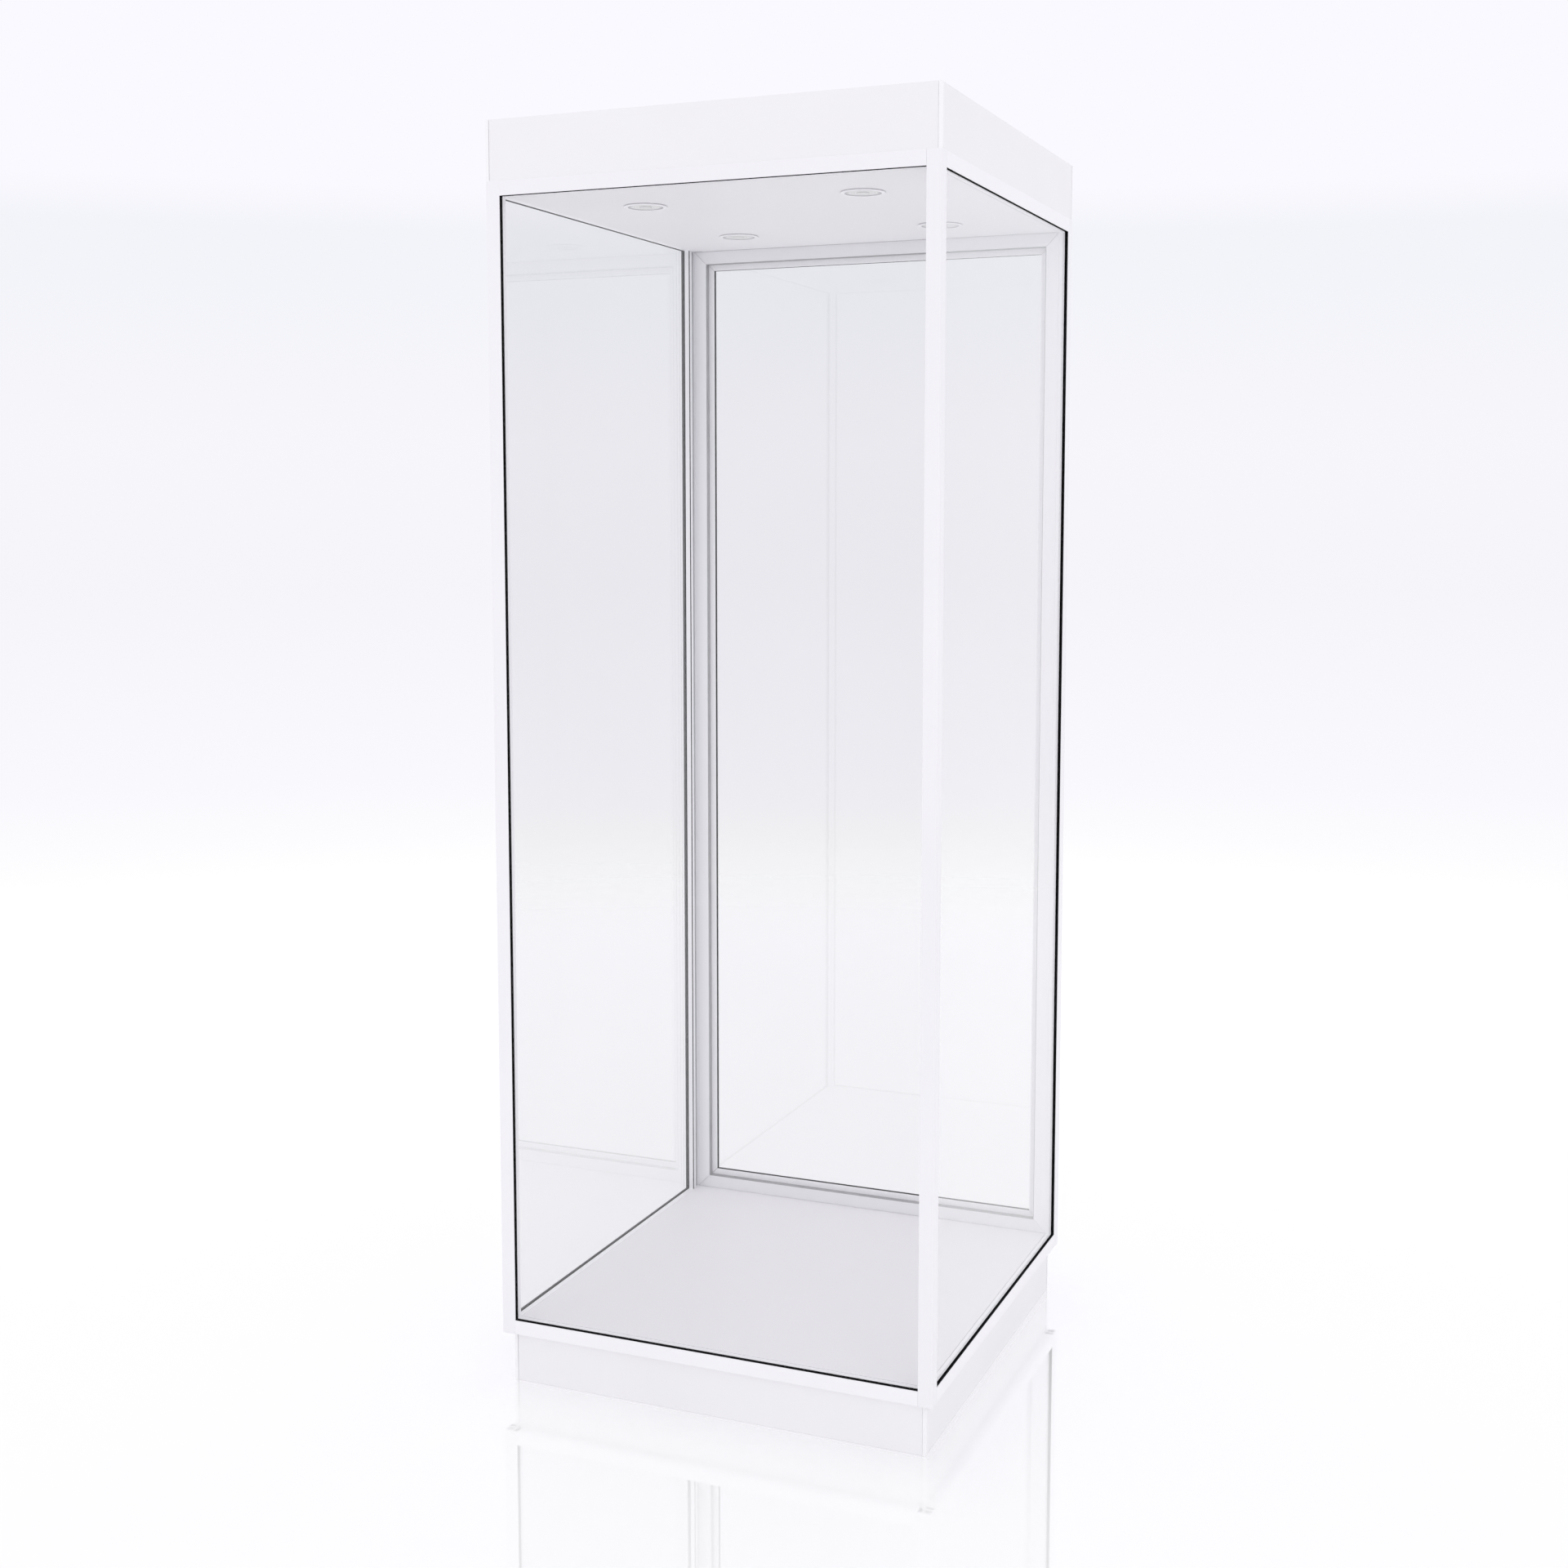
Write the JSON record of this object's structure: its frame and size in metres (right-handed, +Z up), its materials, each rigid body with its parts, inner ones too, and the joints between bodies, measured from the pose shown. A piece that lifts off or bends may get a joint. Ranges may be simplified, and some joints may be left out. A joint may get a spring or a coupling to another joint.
{
  "type": "display case",
  "caption": "Tall square glazed display case for a mannequin: white aluminium frame, glass walls, set-back plinth, lit ceiling under a plain canopy, lockable hinged rear door.",
  "frame": {"origin": "on the floor under the middle of the case", "axes": "+X along the front to the viewer's right, +Y from the front to the door at the back, +Z up"},
  "size_m": [0.8, 0.8, 2.19],
  "materials": {
    "white_frame": "white satin powder coat",
    "white_board": "white painted board",
    "deck_laminate": "pale grey laminate",
    "clear_glass": "clear polished",
    "black_rubber": "matt black",
    "grey_rubber": "matt grey",
    "grey_plastic": "matt grey",
    "white_plastic": "satin white",
    "black_plastic": "matt black",
    "steel": "zinc plated",
    "bronze": "plain turned",
    "chrome": "polished",
    "reflector": "grey satin anodised",
    "lens": "frosted",
    "bare_aluminium": "mill finish"
  },
  "bodies": {
    "case": {"post_front_left": "white_frame", "post_front_right": "white_frame", "post_back_left": "white_frame", "post_back_right": "white_frame", "rail_top_front": "white_frame", "rail_top_back": "white_frame", "rail_top_left": "white_frame", "rail_top_right": "white_frame", "rail_bottom_front": "white_frame", "rail_bottom_back": "white_frame", "rail_bottom_left": "white_frame", "rail_bottom_right": "white_frame", "corner_connectors": "bare_aluminium", "pane_stile_left": "white_frame", "stile_groove_cover": "grey_plastic", "stile_edge_seal": "black_rubber", "glass_front": "clear_glass", "glass_left": "clear_glass", "glass_right": "clear_glass", "glazing_gaskets": "black_rubber", "glazing_beads": "white_frame", "door_stop_stiles": "white_frame", "door_stop_rails": "white_frame", "door_seal": "grey_rubber", "pivot_bushes": "bronze", "strike_plate": "steel", "deck_panel": "deck_laminate", "ceiling_panel": "white_board", "ceiling_brackets": "steel", "downlight_bezels": "white_frame", "downlight_reflectors": "reflector", "downlight_lenses": "lens", "downlight_heat_sinks": "bare_aluminium", "downlight_clips": "steel", "led_driver": "white_plastic", "canopy_panels": "white_board", "corner_beads": "white_frame", "canopy_corner_blocks": "white_board", "canopy_lid": "white_board", "plinth_panels": "white_board", "plinth_corner_blocks": "white_board", "base_board": "white_board", "foot_inserts": "steel", "cable_grommet": "black_rubber"},
    "door": {"door_stile_hinge": "white_frame", "door_stile_lock": "white_frame", "door_rail_top": "white_frame", "door_rail_bottom": "white_frame", "door_corner_cleats": "bare_aluminium", "door_gasket": "black_rubber", "door_glass": "clear_glass", "door_pivot_pins": "steel", "lock_case": "steel", "lock_escutcheon": "chrome"},
    "lock_plug": {"lock_plug": "chrome"},
    "lock_bolt": {"lock_bolt": "steel"},
    "foot_front_left": {"levelling_foot_front_left": "black_plastic"},
    "foot_front_right": {"levelling_foot_front_right": "black_plastic"},
    "foot_back_left": {"levelling_foot_back_left": "black_plastic"},
    "foot_back_right": {"levelling_foot_back_right": "black_plastic"}
  },
  "joints": [
    {"name": "door_swing", "type": "hinge", "parent": "case", "child": "door", "pos_m": [0.367, 0.394, 1.09], "axis": [0, 0, -1], "range_deg": [0, 100]},
    {"name": "lock_turn", "type": "hinge", "parent": "door", "child": "lock_plug", "pos_m": [-0.36025, 0.4, 1.05], "axis": [0, 1, 0], "range_deg": [0, 90]},
    {"name": "bolt_slide", "type": "slide", "parent": "door", "child": "lock_bolt", "axis": [-1, 0, 0], "range_m": [0, 0.008]},
    {"name": "foot_screw_front_left", "type": "slide", "parent": "case", "child": "foot_front_left", "axis": [0, 0, -1], "range_m": [0, 0.01]},
    {"name": "foot_screw_front_right", "type": "slide", "parent": "case", "child": "foot_front_right", "axis": [0, 0, -1], "range_m": [0, 0.01]},
    {"name": "foot_screw_back_left", "type": "slide", "parent": "case", "child": "foot_back_left", "axis": [0, 0, -1], "range_m": [0, 0.01]},
    {"name": "foot_screw_back_right", "type": "slide", "parent": "case", "child": "foot_back_right", "axis": [0, 0, -1], "range_m": [0, 0.01]}
  ],
  "couplings": [
    {"joint": "lock_turn", "follows": "bolt_slide", "rad_per_m": 196.35}
  ]
}
